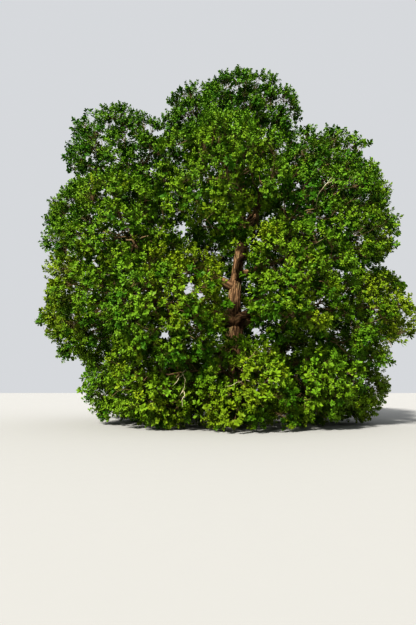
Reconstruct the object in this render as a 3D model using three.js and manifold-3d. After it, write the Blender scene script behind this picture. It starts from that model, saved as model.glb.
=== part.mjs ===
// An old field-grown oak in early summer leaf: a flared trunk with a leading stem, boughs in five rings
// that each end in a fork, and a domed crown of foliage masses that hangs to the ground all round.
// Millimetres, +Z up, origin at the middle of the flat cut under the trunk. The tree is seen along +Y.
import * as THREE from "three";
import { mergeVertices } from "three/addons/utils/BufferGeometryUtils.js";
import Module from "manifold-3d";

const wasm = await Module();
wasm.setup();

// Joints and clearances
const JOINT_GAP = 0.3; // between a limb and what it grows from
const SHORTEST_EDGE = 0.05; // facets finer than this are merged
const SAME_CORNER = 0.001; // corners nearer to each other than this are one
const CELL_GAP = 60; // between the foliage of two masses
const FORK_GAP = 8; // between the stems of the two masses on one tip
const LIMB_CLEARANCE = 70; // from foliage to the side of a limb
const LIMB_SAMPLES = 40; // points along each limb at which that is measured
const GROUND_CLEARANCE = 60; // from the lowest foliage to the ground

// Trunk: radius at each height, and how far the stem sways from a straight line
const TRUNK_STATIONS = [
  { height: 0, radius: 900 },
  { height: 450, radius: 690 },
  { height: 1300, radius: 580 },
  { height: 3200, radius: 520 },
  { height: 5000, radius: 520 },
  { height: 6300, radius: 390 },
  { height: 9000, radius: 285 },
  { height: 12500, radius: 190 },
  { height: 16000, radius: 105 },
];
const TRUNK_SWAY = 330;
const TRUNK_BEND_X = 5.5; // radians of the sway's wave from foot to tip, along X
const TRUNK_BEND_Y = 4.1; // the same along Y
const TRUNK_BEND_START = 0.8; // where that wave along Y starts, in radians
const TRUNK_SIDES = 15;
const TRUNK_RINGS = 14;
const FLARE_HEIGHT = 1500; // root buttresses fade out at this height
const BUTTRESSES = 5;
const BUTTRESS_DEPTH = 0.16; // as a share of the trunk's radius
const BUTTRESS_TURN = 0.6; // of the ring of buttresses, in radians

// Crown rings, from the ground up. Each bough ends in a fork that carries two masses of its ring.
// phase: azimuth of the first mass in degrees, from +X. height, reach: the ring's middle and radius.
// depth: reach along Y over reach along X. spread, rise: half width and half height of a mass.
// lean: shift along X.
// tilt: height gained per unit of X. drop: height lost per unit of distance towards the viewpoint.
// stagger: every other mass is this much above the ring and the rest as much below.
// from: where its boughs leave the trunk, lowest and highest. entry: height of a bough's tip above its
// masses' middle. climb: steepness with which a bough starts.
const RINGS = [
  {
    name: "skirt", boughs: 5, phase: 18, height: 2250, reach: 5200, depth: 0.98, spread: 3100, rise: 2600,
    lean: -300, tilt: 0, drop: 0, stagger: 250,
    from: [3100, 4100], entry: 900, climb: 0.5, girth: 190,
  },
  {
    name: "low", boughs: 5, phase: 0, height: 5900, reach: 7000, depth: 0.92, spread: 3350, rise: 2950,
    lean: -950, tilt: 0, drop: 0, stagger: 600,
    from: [4500, 5500], entry: 0, climb: 0.7, girth: 290,
  },
  {
    name: "middle", boughs: 4, phase: 0, height: 10100, reach: 6800, depth: 0.9, spread: 3500, rise: 3200,
    lean: -1000, tilt: 0.02, drop: 0, stagger: 650,
    from: [6600, 8300], entry: -900, climb: 0.6, girth: 230,
  },
  {
    name: "upper", boughs: 3, phase: 20, height: 14550, reach: 6000, depth: 0.74, spread: 3400, rise: 3100,
    lean: -700, tilt: -0.14, drop: 0.6, stagger: 250,
    from: [9600, 11200], entry: -1100, climb: 1.0, girth: 165,
  },
  {
    name: "top", boughs: 2, phase: 0, height: 17700, reach: 1800, depth: 0.8, spread: 2500, rise: 2800,
    lean: -350, tilt: 0.12, drop: 0.3, stagger: 0,
    from: [12600, 12600], entry: -1500, climb: 1.5, girth: 125,
  },
];
const CROWN_SEED = 7;
const REACH_JITTER = 0.06; // as a share of the reach
const HEIGHT_JITTER = 500;
const AZIMUTH_JITTER = 8; // degrees

// Boughs
const BOUGH_SEED = 11;
const TIP_RADIUS = 105;
const TIP_INSET = 0.62; // from the masses' middle towards the trunk, as a share of their spread
const MOST_INSET = 0.6; // the same as a share of the way to the ring's own axis
const BOUGH_SIDES = 6;
const BOUGH_RINGS = 7;
const BOUGH_TAPER = 0.8; // power of the length that the radius follows from the girth to the tip
const BOUGH_SWAY = 0.045; // as a share of the bough's length
const BOUGH_RISE = 0.6; // up and down sway over sideways sway
const BOUGH_LEAVING = 0.4; // length over which a bough keeps its first direction, as a share of its own
const BOUGH_ARRIVING = 0.35; // the same for its last direction
const LEAST_TURNS = 1.5; // of a bough's sway about its line, and up to one more
const GIRTH_JITTER = 0.24;

// Foliage. In the solids one leaf stands for a whole spray of leaves.
const FOLIAGE_SEED = 131; // of the first mass, and one more for each mass after it
const STEM_RADIUS = 0.42 * TIP_RADIUS; // two stems fit side by side on one tip
const STEM_END = 0.3 * TIP_RADIUS;
const STEM_OVERLAP = 60; // how far a stem starts inside its bough's tip before it is cut to the joint
const CORE_SHARE = 0.56; // the dense middle of a mass, as a share of the room towards the open
const SEAM_SHARE = 0.76; // the same towards a neighbour
const CORE_ROUGHNESS = 0.06;
const TWIGS = 9; // directions tried in each mass
const TWIG_SIDES = 3;
const TWIG_RADIUS = 45;
const TWIG_TAPER = 0.7; // end radius over start radius
const TWIG_START = 0.6; // where a twig starts, as a share of the dense middle
const TWIG_STAND = 120; // how far a twig's end stands out of the dense middle
const LEAVES_PER_TWIG = 3;
const LEAF_LEAN = 0.5; // angle between a twig and the tips of its leaves, seen from the mass's middle
const LEAF_LEAN_JITTER = 0.5;
const LEAF_TURN_JITTER = 0.5; // as a share of the way round to the next leaf
const LEAF_STEP = 45; // from one leaf's root to the next along the twig
const LEAF_SLIMNESS = 0.34; // half width over length
const LEAF_WIDEST = 0.55; // how far along the leaf it is widest
const LEAF_SINK = 0.4 * TWIG_RADIUS; // how far a leaf's root lies past the twig's middle line
const LEAF_THICKNESS = 60;
const LEAF_ROLL = 0.9; // how much a leaf may roll about its own length, in radians
const LEAF_SPACING = 450; // least distance between the middles of two leaves
const SHORTEST_LEAF = 500;
const LEAST_ROOM = 900; // a mass puts out no twig where it has less room than this
const LEAST_CORE = 250; // least radius of the dense middle
const OPEN_SHARE = 0.93; // a direction with this share of the ellipsoid's reach is open, not blocked
const ROOM_STEP = 75; // steps in which the room in a direction is felt out
const SLIVER = 6; // facets that change a mass's surface by less than this are merged

// Gaps in the foliage: straight lanes of view past the trunk, as seen from the viewpoint. at: a point
// of the lane beside or on the trunk. beyond: how far the lane runs on behind that point.
const VIEWPOINT = [-1730, -25000, 1600];
const LANES = [
  { at: [0, 0, 6000], radius: 850, beyond: 0 },
  { at: [150, 0, 8700], radius: 750, beyond: 0 },
  { at: [900, 0, 4900], radius: 450, beyond: 14000 },
  { at: [2900, 0, 3800], radius: 420, beyond: 14000 },
  { at: [4800, 0, 6500], radius: 500, beyond: 14000 },
  { at: [-2700, 0, 7500], radius: 380, beyond: 14000 },
  { at: [-4100, 0, 4700], radius: 420, beyond: 14000 },
];

const BARK = new THREE.MeshStandardMaterial({ color: 0x6a5846, roughness: 0.95, metalness: 0 });
const RING_GREENS = {
  skirt: 0x517d1a, low: 0x4c771c, middle: 0x47721a, upper: 0x416c1a, top: 0x46741c,
};

// A seeded sequence of numbers from 0 to 1
function seededDraw(seed) {
  let state = seed >>> 0;
  return () => {
    state = (state + 0x6d2b79f5) >>> 0;
    let t = state;
    t = Math.imul(t ^ (t >>> 15), t | 1);
    t ^= t + Math.imul(t ^ (t >>> 7), t | 61);
    return ((t ^ (t >>> 14)) >>> 0) / 4294967296;
  };
}

const vector = (x, y, z) => new THREE.Vector3(x, y, z);
const UP = vector(0, 0, 1);

// The value at a height, on straight lines between stations
function trunkRadius(height) {
  const next = TRUNK_STATIONS.findIndex((s) => s.height >= height);
  if (next === 0) return TRUNK_STATIONS[0].radius;
  if (next < 0) return TRUNK_STATIONS.at(-1).radius;
  const [a, b] = [TRUNK_STATIONS[next - 1], TRUNK_STATIONS[next]];
  return THREE.MathUtils.mapLinear(height, a.height, b.height, a.radius, b.radius);
}

// The stem's middle line: from the origin to the tip, with a sway that is nil at both ends
class TrunkLine extends THREE.Curve {
  constructor(tip) {
    super();
    this.tip = tip;
  }

  getPoint(t) {
    const sway = TRUNK_SWAY * Math.sin(Math.PI * t);
    return vector(
      this.tip.x * t * t - sway * Math.sin(TRUNK_BEND_X * t),
      this.tip.y * t * t + sway * t * Math.sin(TRUNK_BEND_Y * t + TRUNK_BEND_START),
      this.tip.z * t,
    );
  }

  // The point of the line at a height
  atHeight(height) {
    return this.getPoint(height / this.tip.z);
  }
}

// A bough's middle line: a cubic arc that leaves the trunk outwards, swings a little from side to side
// and up and down, and arrives at its tip in the direction of its masses
class BoughLine extends THREE.Curve {
  constructor(start, tip, arrival, climb, draw) {
    super();
    const out = tip.clone().sub(start).setZ(0);
    const length = start.distanceTo(tip);
    out.normalize();
    const leave = out.clone().addScaledVector(UP, climb).normalize();
    this.arc = new THREE.CubicBezierCurve3(
      start,
      start.clone().addScaledVector(leave, BOUGH_LEAVING * length),
      tip.clone().addScaledVector(arrival, -BOUGH_ARRIVING * length),
      tip,
    );
    this.side = vector(-out.y, out.x, 0);
    this.sway = BOUGH_SWAY * length;
    this.turns = LEAST_TURNS + draw();
    this.phase = 2 * Math.PI * draw();
  }

  getPoint(t) {
    const swing = this.sway * Math.sin(Math.PI * t);
    const angle = 2 * Math.PI * this.turns * t + this.phase;
    return this.arc
      .getPoint(t)
      .addScaledVector(this.side, swing * Math.sin(angle))
      .addScaledVector(UP, BOUGH_RISE * swing * Math.cos(angle));
  }
}

// A closed tube: a cylinder whose rings are moved on to a line. grow makes it fatter and longer all round.
function tube(line, radiusAt, side, sides, rings, grow = 0, shape = () => 1) {
  const geometry = new THREE.CylinderGeometry(1, 1, 1, sides, rings);
  const position = geometry.getAttribute("position");
  const vertex = vector(0, 0, 0);
  for (let i = 0; i < position.count; i++) {
    vertex.fromBufferAttribute(position, i);
    const t = THREE.MathUtils.clamp(vertex.y + 0.5, 0, 1);
    const tangent = line.getTangent(t);
    const normal = side.clone().cross(tangent).normalize();
    const binormal = tangent.clone().cross(normal);
    const spoke = Math.hypot(vertex.x, vertex.z);
    const angle = Math.atan2(vertex.z, vertex.x);
    const radius = spoke * (radiusAt(t) * shape(t, angle) + grow);
    const end = t === 0 ? -1 : t === 1 ? 1 : 0;
    const point = line
      .getPoint(t)
      .addScaledVector(normal, radius * Math.cos(angle))
      .addScaledVector(binormal, -radius * Math.sin(angle))
      .addScaledVector(tangent, end * grow);
    position.setXYZ(i, point.x, point.y, point.z);
  }
  return solidOf(geometry);
}

// A three.js geometry as a manifold solid
function solidOf(geometry) {
  const bare = geometry.clone();
  bare.deleteAttribute("normal");
  bare.deleteAttribute("uv");
  const merged = mergeVertices(bare, SAME_CORNER);
  return new wasm.Manifold(
    new wasm.Mesh({
      numProp: 3,
      vertProperties: new Float32Array(merged.getAttribute("position").array),
      triVerts: new Uint32Array(merged.index.array),
    }),
  );
}

// A solid as a three.js geometry
function geometryOf(solid) {
  const mesh = solid.simplify(SHORTEST_EDGE).getMesh();
  const geometry = new THREE.BufferGeometry();
  geometry.setAttribute("position", new THREE.BufferAttribute(new Float32Array(mesh.vertProperties), 3));
  geometry.setIndex(new THREE.BufferAttribute(new Uint32Array(mesh.triVerts), 1));
  geometry.computeVertexNormals();
  return geometry;
}

// The largest separate body of a solid, so that scraps of a cut are dropped
function largestBody(solid) {
  return solid.decompose().reduce((a, b) => (b.volume() > a.volume() ? b : a));
}

// One foliage mass: its middle and its half sizes
function makeMasses() {
  const draw = seededDraw(CROWN_SEED);
  const masses = [];
  for (const ring of RINGS) {
    const count = 2 * ring.boughs;
    for (let k = 0; k < count; k++) {
      const azimuth = THREE.MathUtils.degToRad(
        ring.phase + (360 * k) / count + AZIMUTH_JITTER * (draw() - 0.5),
      );
      const reach = ring.reach * (1 + REACH_JITTER * (draw() - 0.5));
      const x = reach * Math.cos(azimuth);
      const y = reach * ring.depth * Math.sin(azimuth);
      const stagger = k % 2 ? -ring.stagger : ring.stagger;
      const slope = ring.tilt * x + ring.drop * Math.min(y, 0);
      const z = ring.height + slope + stagger + HEIGHT_JITTER * (draw() - 0.5);
      masses.push({ ring, name: `${ring.name}_mass_${k + 1}`, middle: vector(x + ring.lean, y, z) });
    }
  }
  return masses;
}

// Where the bough of two masses ends: on the plane midway between them, on the side of the trunk
function tipOf(first, second, ring) {
  const across = second.middle.clone().sub(first.middle).normalize();
  const middle = first.middle.clone().lerp(second.middle, 0.5);
  const inwards = vector(ring.lean, 0, 0).sub(middle).setZ(0);
  const inset = Math.min(TIP_INSET * ring.spread, MOST_INSET * inwards.length());
  const offset = inwards.setLength(inset).addScaledVector(UP, ring.entry);
  offset.addScaledVector(across, -offset.dot(across));
  return { tip: middle.clone().add(offset), arrival: offset.clone().negate().normalize(), across };
}

// The trunk, and a bough for each pair of masses but the one that the trunk's own tip carries
function makeLimbs(masses) {
  const draw = seededDraw(BOUGH_SEED);
  const topPair = masses.slice(-2 * RINGS.at(-1).boughs);
  const trunkEnd = tipOf(topPair[0], topPair[1], RINGS.at(-1));
  const trunkLine = new TrunkLine(trunkEnd.tip);
  const trunk = {
    name: "trunk",
    line: trunkLine,
    side: vector(0, 1, 0),
    radiusAt: (t) => trunkRadius(t * trunkEnd.tip.z),
    carries: [topPair[0], topPair[1]],
    ...trunkEnd,
  };
  const limbs = [trunk];
  for (let i = 0; i < masses.length; i += 2) {
    const pair = [masses[i], masses[i + 1]];
    if (pair[0] === topPair[0]) continue;
    const ring = pair[0].ring;
    const end = tipOf(pair[0], pair[1], ring);
    const start = trunkLine.atHeight(THREE.MathUtils.lerp(ring.from[0], ring.from[1], draw()));
    const girth = ring.girth * (1 + GIRTH_JITTER * (draw() - 0.5));
    const line = new BoughLine(start, end.tip, end.arrival, ring.climb, draw);
    limbs.push({
      name: `${ring.name}_bough_${Number(pair[0].name.split("_").at(-1)) / 2 + 0.5}`,
      line,
      side: line.side,
      radiusAt: (t) => girth + (TIP_RADIUS - girth) * Math.pow(t, BOUGH_TAPER),
      carries: pair,
      ...end,
    });
  }
  for (const limb of limbs) {
    limb.samples = samplesOf(limb);
    limb.carries.forEach((mass, i) => {
      mass.limb = limb;
      mass.root = limb.tip
        .clone()
        .addScaledVector(limb.across, (i - 0.5) * TIP_RADIUS)
        .addScaledVector(limb.arrival, -STEM_OVERLAP);
    });
  }
  return limbs;
}

// The stem that a mass grows from: from its bough's tip to the mass's middle
function stemSolid(mass, grow = 0) {
  return twigSolid(mass.root, mass.middle, STEM_RADIUS + grow, STEM_END + grow);
}

// Points along a limb with its radius there, for measuring how near foliage comes
function samplesOf(limb) {
  return Array.from({ length: LIMB_SAMPLES + 1 }, (_, i) => ({
    point: limb.line.getPoint(i / LIMB_SAMPLES),
    radius: limb.radiusAt(i / LIMB_SAMPLES),
  }));
}

// Root buttresses: the trunk's outline swells and pinches near the ground
function buttress(height, angle) {
  const fade = Math.max(0, 1 - height / FLARE_HEIGHT);
  return 1 + BUTTRESS_DEPTH * fade * Math.cos(BUTTRESSES * angle + BUTTRESS_TURN);
}

function limbSolid(limb, grow = 0) {
  if (limb.name !== "trunk")
    return tube(limb.line, limb.radiusAt, limb.side, BOUGH_SIDES, BOUGH_RINGS, grow);
  const shape = (t, angle) => buttress(t * limb.tip.z, angle);
  const whole = tube(limb.line, limb.radiusAt, limb.side, TRUNK_SIDES, TRUNK_RINGS, grow, shape);
  return grow ? whole : whole.trimByPlane([0, 0, 1], 0);
}

// The middle line of each lane
const LANE_LINES = LANES.map(({ at, radius, beyond }) => {
  const [start, target] = [vector(...VIEWPOINT), vector(...at)];
  const end = target.clone().addScaledVector(target.clone().sub(start).normalize(), beyond);
  return { line: new THREE.Line3(start, end), radius };
});

// Distance from a point to the nearest lane's side
function distanceToLanes(point) {
  const nearest = vector(0, 0, 0);
  return Math.min(
    ...LANE_LINES.map(
      ({ line, radius }) => line.closestPointToPoint(point, true, nearest).distanceTo(point) - radius,
    ),
  );
}

// How far inside a mass's own space a point lies, in millimetres. Negative is outside.
// The space is the mass's ellipsoid, cut off halfway to each neighbour, at the ground and at the lanes.
function insideSpace(mass, point, masses) {
  const { spread, rise } = mass.ring;
  const local = point.clone().sub(mass.middle);
  const q = Math.hypot(local.x / spread, local.y / spread, local.z / rise);
  let inside = (1 - q) * Math.min(spread, rise);
  for (const other of masses) {
    if (other === mass || inside < 0) continue;
    const apart = mass.middle.distanceTo(other.middle);
    const power = (m) => point.distanceToSquared(m.middle) - m.ring.spread * m.ring.rise;
    inside = Math.min(inside, (power(other) - power(mass)) / (2 * apart) - CELL_GAP / 2);
  }
  return Math.min(inside, distanceToLanes(point), point.z - GROUND_CLEARANCE);
}

function distanceToLimbs(point, limbs) {
  let nearest = Infinity;
  for (const limb of limbs)
    for (const s of limb.samples) nearest = Math.min(nearest, point.distanceTo(s.point) - s.radius);
  return nearest;
}

// How far a mass's space runs from its middle in a direction
function roomAlong(mass, direction, masses, limbs) {
  let room = 0;
  for (let r = ROOM_STEP; r < 2 * mass.ring.spread; r += ROOM_STEP) {
    const point = mass.middle.clone().addScaledVector(direction, r);
    if (insideSpace(mass, point, masses) < 0) break;
    if (distanceToLimbs(point, limbs) < LIMB_CLEARANCE) break;
    room = r;
  }
  return room;
}

// Whether a direction leaves the mass through its own outer surface and not towards a neighbour
function isOpen(mass, direction, room) {
  const { spread, rise } = mass.ring;
  const reach = room * Math.hypot(direction.x / spread, direction.y / spread, direction.z / rise);
  return reach > OPEN_SHARE;
}

// The dense middle of a mass: a faceted ball that keeps to a share of the room in each direction
function coreSolid(mass, masses, limbs, draw) {
  const geometry = new THREE.OctahedronGeometry(1, 1);
  geometry.deleteAttribute("normal");
  geometry.deleteAttribute("uv");
  const ball = mergeVertices(geometry, SAME_CORNER);
  const position = ball.getAttribute("position");
  const direction = vector(0, 0, 0);
  for (let i = 0; i < position.count; i++) {
    direction.fromBufferAttribute(position, i).normalize();
    const room = roomAlong(mass, direction, masses, limbs);
    const share = isOpen(mass, direction, room) ? CORE_SHARE : SEAM_SHARE;
    const size = Math.max(LEAST_CORE, room * share * (1 - CORE_ROUGHNESS * draw()));
    const point = mass.middle.clone().addScaledVector(direction, size);
    position.setXYZ(i, point.x, point.y, Math.max(point.z, 2 * GROUND_CLEARANCE));
  }
  return solidOf(ball);
}

// A tapered twig from one point to another
function twigSolid(from, to, radius, endRadius) {
  const length = from.distanceTo(to);
  const geometry = new THREE.CylinderGeometry(endRadius, radius, length, TWIG_SIDES, 1);
  geometry.translate(0, length / 2, 0);
  const turn = new THREE.Quaternion().setFromUnitVectors(
    vector(0, 1, 0),
    to.clone().sub(from).normalize(),
  );
  geometry.applyQuaternion(turn).translate(from.x, from.y, from.z);
  return solidOf(geometry);
}

// The corners of a leaf: a kite with a flat underside and a raised rib, from its root to its tip
function leafPoints(root, tip, across) {
  const along = tip.clone().sub(root);
  const half = LEAF_SLIMNESS * along.length();
  const face = along.clone().cross(across).normalize();
  const at = (share, sideways, up) =>
    root.clone().addScaledVector(along, share).addScaledVector(across, sideways).addScaledVector(face, up);
  return [root, at(LEAF_WIDEST, -half, 0), tip, at(LEAF_WIDEST, half, 0), at(0.5, 0, LEAF_THICKNESS)];
}

function leafSolid(points) {
  const [base, left, tip, right, rib] = points;
  const under = [base, right, left, tip, left, right];
  const over = [base, left, rib, left, tip, rib, tip, right, rib, right, base, rib];
  return solidOf(new THREE.BufferGeometry().setFromPoints([...under, ...over]));
}

// Directions spread evenly over a sphere
function evenDirections(count, turn) {
  return Array.from({ length: count }, (_, i) => {
    const z = 1 - (2 * i + 1) / count;
    const angle = i * Math.PI * (3 - Math.sqrt(5)) + turn;
    const level = Math.sqrt(1 - z * z);
    return vector(level * Math.cos(angle), level * Math.sin(angle), z);
  });
}

// A mass: a stem from its bough's tip, a core, and twigs with leaves at their ends
function massSolid(mass, masses, limbs, index) {
  const draw = seededDraw(FOLIAGE_SEED + index);
  const solids = [stemSolid(mass), coreSolid(mass, masses, limbs, draw)];
  const taken = [];
  for (const direction of evenDirections(TWIGS, 2 * Math.PI * draw())) {
    const room = roomAlong(mass, direction, masses, limbs);
    if (room < LEAST_ROOM || !isOpen(mass, direction, room)) continue;
    const from = mass.middle.clone().addScaledVector(direction, TWIG_START * CORE_SHARE * room);
    const to = mass.middle.clone().addScaledVector(direction, CORE_SHARE * room + TWIG_STAND);
    solids.push(twigSolid(from, to, TWIG_RADIUS, TWIG_TAPER * TWIG_RADIUS));
    solids.push(...leavesAt(from, to, mass, masses, limbs, draw, taken));
  }
  return largestBody(wasm.Manifold.union(solids).simplify(SLIVER));
}

// The leaves of a twig: a spray that opens from the twig's end to the edge of the mass's space.
// One that would leave the space, touch a limb or crowd another leaf is skipped.
function leavesAt(from, to, mass, masses, limbs, draw, taken) {
  const axis = to.clone().sub(from).normalize();
  const side = axis.clone().cross(UP).normalize();
  const start = 2 * Math.PI * draw();
  const leaves = [];
  for (let k = 0; k < LEAVES_PER_TWIG; k++) {
    const turn = start + (2 * Math.PI * (k + LEAF_TURN_JITTER * draw())) / LEAVES_PER_TWIG;
    const lean = LEAF_LEAN * (1 + LEAF_LEAN_JITTER * (draw() - 0.5));
    const spoke = side.clone().applyAxisAngle(axis, turn);
    const direction = axis.clone().applyAxisAngle(spoke, lean);
    const room = roomAlong(mass, direction, masses, limbs);
    const tip = mass.middle.clone().addScaledVector(direction, room);
    const along = tip.clone().sub(to).normalize();
    const root = to.clone().addScaledVector(axis, -LEAF_STEP * k).addScaledVector(along, -LEAF_SINK);
    const across = spoke.addScaledVector(along, -spoke.dot(along)).normalize();
    across.applyAxisAngle(along, LEAF_ROLL * (draw() - 0.5));
    const points = leafPoints(root, tip, across);
    const fits = points.every(
      (p) => insideSpace(mass, p, masses) > 0 && distanceToLimbs(p, limbs) > LIMB_CLEARANCE,
    );
    const rib = points.at(-1);
    const crowded = taken.some((other) => other.distanceTo(rib) < LEAF_SPACING);
    if (!fits || crowded || root.distanceTo(tip) < SHORTEST_LEAF) continue;
    taken.push(rib);
    leaves.push(leafSolid(points));
  }
  return leaves;
}

function makeTree() {
  const masses = makeMasses();
  const limbs = makeLimbs(masses);
  const tree = new THREE.Group();
  const add = (name, solid, material) => {
    const mesh = new THREE.Mesh(geometryOf(solid), material);
    mesh.name = name;
    tree.add(mesh);
  };

  const grown = limbs.map((limb) => limbSolid(limb, JOINT_GAP));
  limbs.forEach((limb, i) => {
    const cut = grown.slice(0, i).reduce((solid, other) => solid.subtract(other), limbSolid(limb));
    add(limb.name, largestBody(cut), BARK);
  });

  const allLimbs = wasm.Manifold.union(grown);
  masses.forEach((mass, i) => {
    const otherStems = masses
      .filter((other) => other !== mass)
      .map((other) => stemSolid(other, other.limb === mass.limb ? FORK_GAP : CELL_GAP));
    const solid = massSolid(mass, masses, limbs, i).subtract(allLimbs);
    const green = new THREE.MeshStandardMaterial({
      color: RING_GREENS[mass.ring.name],
      roughness: 0.6,
      metalness: 0,
    });
    add(mass.name, largestBody(solid.subtract(wasm.Manifold.union(otherStems))), green);
  });
  return tree;
}

export default makeTree();
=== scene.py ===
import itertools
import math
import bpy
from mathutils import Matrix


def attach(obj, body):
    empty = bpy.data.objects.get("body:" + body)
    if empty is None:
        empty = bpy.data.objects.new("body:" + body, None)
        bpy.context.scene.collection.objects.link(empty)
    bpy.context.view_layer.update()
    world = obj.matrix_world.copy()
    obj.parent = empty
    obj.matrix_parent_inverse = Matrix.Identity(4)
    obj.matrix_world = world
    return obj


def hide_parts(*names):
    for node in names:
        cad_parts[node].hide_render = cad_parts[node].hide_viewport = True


# An old field-grown oak in early summer leaf. The trunk and boughs get bark with relief. Each mass of
# foliage is grown again by the rule of the solids and carried on to fine branches, twigs and leaves.
# Metres, +Z up, origin at the middle of the flat cut under the trunk. The tree is seen along +Y.
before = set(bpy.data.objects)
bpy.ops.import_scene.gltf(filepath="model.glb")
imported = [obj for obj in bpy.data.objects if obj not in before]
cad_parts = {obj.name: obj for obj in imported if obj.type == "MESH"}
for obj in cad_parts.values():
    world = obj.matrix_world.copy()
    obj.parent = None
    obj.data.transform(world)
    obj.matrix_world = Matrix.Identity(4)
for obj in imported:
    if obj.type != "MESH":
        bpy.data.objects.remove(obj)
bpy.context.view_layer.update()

from types import SimpleNamespace

import bpy
import numpy as np
from mathutils import Vector

# Clearances
CELL_GAP = 0.06  # between the foliage of two masses
LIMB_CLEARANCE = 0.07  # from foliage to the side of a limb
SPRAY_CLEARANCE = 0.14  # from the middle of a spray to the same
LIMB_SAMPLES = 40  # points along each limb at which that is measured
GROUND_CLEARANCE = 0.06  # from the lowest foliage to the ground

# Trunk: height and radius at each station, and how far the stem sways from a straight line
TRUNK_STATIONS = [
    (0.0, 0.9), (0.45, 0.69), (1.3, 0.58), (3.2, 0.52), (5.0, 0.52),
    (6.3, 0.39), (9.0, 0.285), (12.5, 0.19), (16.0, 0.105),
]
TRUNK_SWAY = 0.33
TRUNK_BEND_X = 5.5  # radians of the sway's wave from foot to tip, along X
TRUNK_BEND_Y = 4.1  # the same along Y
TRUNK_BEND_START = 0.8  # where that wave along Y starts, in radians
FLARE_HEIGHT = 1.5  # root buttresses fade out at this height
BUTTRESSES = 5
BUTTRESS_DEPTH = 0.16  # as a share of the trunk's radius
BUTTRESS_TURN = -0.6  # of the ring of buttresses, in radians

# Crown rings, from the ground up, with the same values as the solids. Each bough carries two masses.
# phase: azimuth of the first mass in degrees, from +X. height, reach: the ring's middle and radius.
# depth: reach along Y over reach along X. spread, rise: half width and half height of a mass.
# lean: shift along X. tilt: height gained per unit of X. drop: height lost per unit of distance towards
# the viewpoint. stagger: every other mass is this much above the ring and the rest as much below.
# leaves: heights between which its boughs leave the trunk. entry: height of a bough's tip above its
# masses' middle. climb: steepness with which a bough starts. girth: a bough's radius at the trunk.
# closeness: spacing of its clumps over that of the fullest ring.
RINGS = [
    dict(name="skirt", boughs=5, phase=18, height=2.25, reach=5.2, depth=0.98, spread=3.1, rise=2.6,
         lean=-0.3, tilt=0, drop=0, stagger=0.25, leaves=(3.1, 4.1), entry=0.9, climb=0.5, girth=0.19,
         closeness=0.86),
    dict(name="low", boughs=5, phase=0, height=5.9, reach=7.0, depth=0.92, spread=3.35, rise=2.95,
         lean=-0.95, tilt=0, drop=0, stagger=0.6, leaves=(4.5, 5.5), entry=0, climb=0.7, girth=0.29,
         closeness=0.95),
    dict(name="middle", boughs=4, phase=0, height=10.1, reach=6.8, depth=0.9, spread=3.5, rise=3.2,
         lean=-1.0, tilt=0.02, drop=0, stagger=0.65, leaves=(6.6, 8.3), entry=-0.9, climb=0.6, girth=0.23,
         closeness=1.0),
    dict(name="upper", boughs=3, phase=20, height=14.55, reach=6.0, depth=0.74, spread=3.4, rise=3.1,
         lean=-0.7, tilt=-0.14, drop=0.6, stagger=0.25, leaves=(9.6, 11.2), entry=-1.1, climb=1.0,
         girth=0.165, closeness=0.98),
    dict(name="top", boughs=2, phase=0, height=17.7, reach=1.8, depth=0.8, spread=2.5, rise=2.8,
         lean=-0.35, tilt=0.12, drop=0.3, stagger=0, leaves=(12.6, 12.6), entry=-1.5, climb=1.5,
         girth=0.125, closeness=0.9),
]
RINGS = [SimpleNamespace(**ring) for ring in RINGS]
CROWN_SEED = 7
REACH_JITTER = 0.06  # as a share of the reach
HEIGHT_JITTER = 0.5
AZIMUTH_JITTER = 8  # degrees
BOUGH_SEED = 11
TIP_RADIUS = 0.105
TIP_INSET = 0.62  # from the masses' middle towards the trunk, as a share of their spread
MOST_INSET = 0.6  # the same as a share of the way to the ring's own axis
BOUGH_TAPER = 0.8  # power of the length that the radius follows from the girth to the tip
BOUGH_SWAY = 0.045  # as a share of the bough's length
BOUGH_RISE = 0.6  # up and down sway over sideways sway
BOUGH_LEAVING = 0.4  # length over which a bough keeps its first direction, as a share of its own
BOUGH_ARRIVING = 0.35  # the same for its last direction
LEAST_TURNS = 1.5  # of a bough's sway about its line, and up to one more
GIRTH_JITTER = 0.24
STEM_OVERLAP = 0.06  # how far a mass's stem starts inside its bough's tip
OPEN_SHARE = 0.93  # a direction with this share of the ellipsoid's reach is open, not blocked
ROOM_STEP = 0.1  # between the places at which the room in a direction is measured
ROOM_REACH = 1.3  # how far that goes, over the mass's larger half size

# Gaps in the foliage: straight lanes of view past the trunk, as seen from the viewpoint. Each has a
# point beside or on the trunk, a radius and how far it runs on behind that point.
VIEWPOINT = np.array([-1.73, -25.0, 1.6])
LANES = [
    ((0, 0, 5.6), 0.5, 0), ((0, 0, 7.4), 0.45, 0), ((0.1, 0, 8.9), 0.4, 0), ((0.9, 0, 4.9), 0.3, 14),
    ((2.9, 0, 3.8), 0.28, 14), ((4.8, 0, 6.5), 0.3, 14), ((-2.7, 0, 7.5), 0.22, 14),
    ((-4.1, 0, 4.7), 0.28, 14), ((-0.2, 0, 2.7), 0.2, 0),
]
# Gaps that let the sun in to the trunk: where each starts, and its radius
SUN_LANES = [((-0.1, -0.4, 7.3), 0.5), ((-0.1, -0.45, 4.7), 0.25), ((0.1, -0.3, 8.8), 0.5)]
SUN_LANE_LENGTH = 16
SUN_FROM = (-0.42, -0.85, 0.72)
LANE_RAGGEDNESS = 0.55  # how far a lane's side wanders in and out
LANE_BAYS = 0.7  # size of those bays
LANE_WIDENING = 0.45  # share of the raggedness that widens the lane
LANE_SEED = 17

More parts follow.
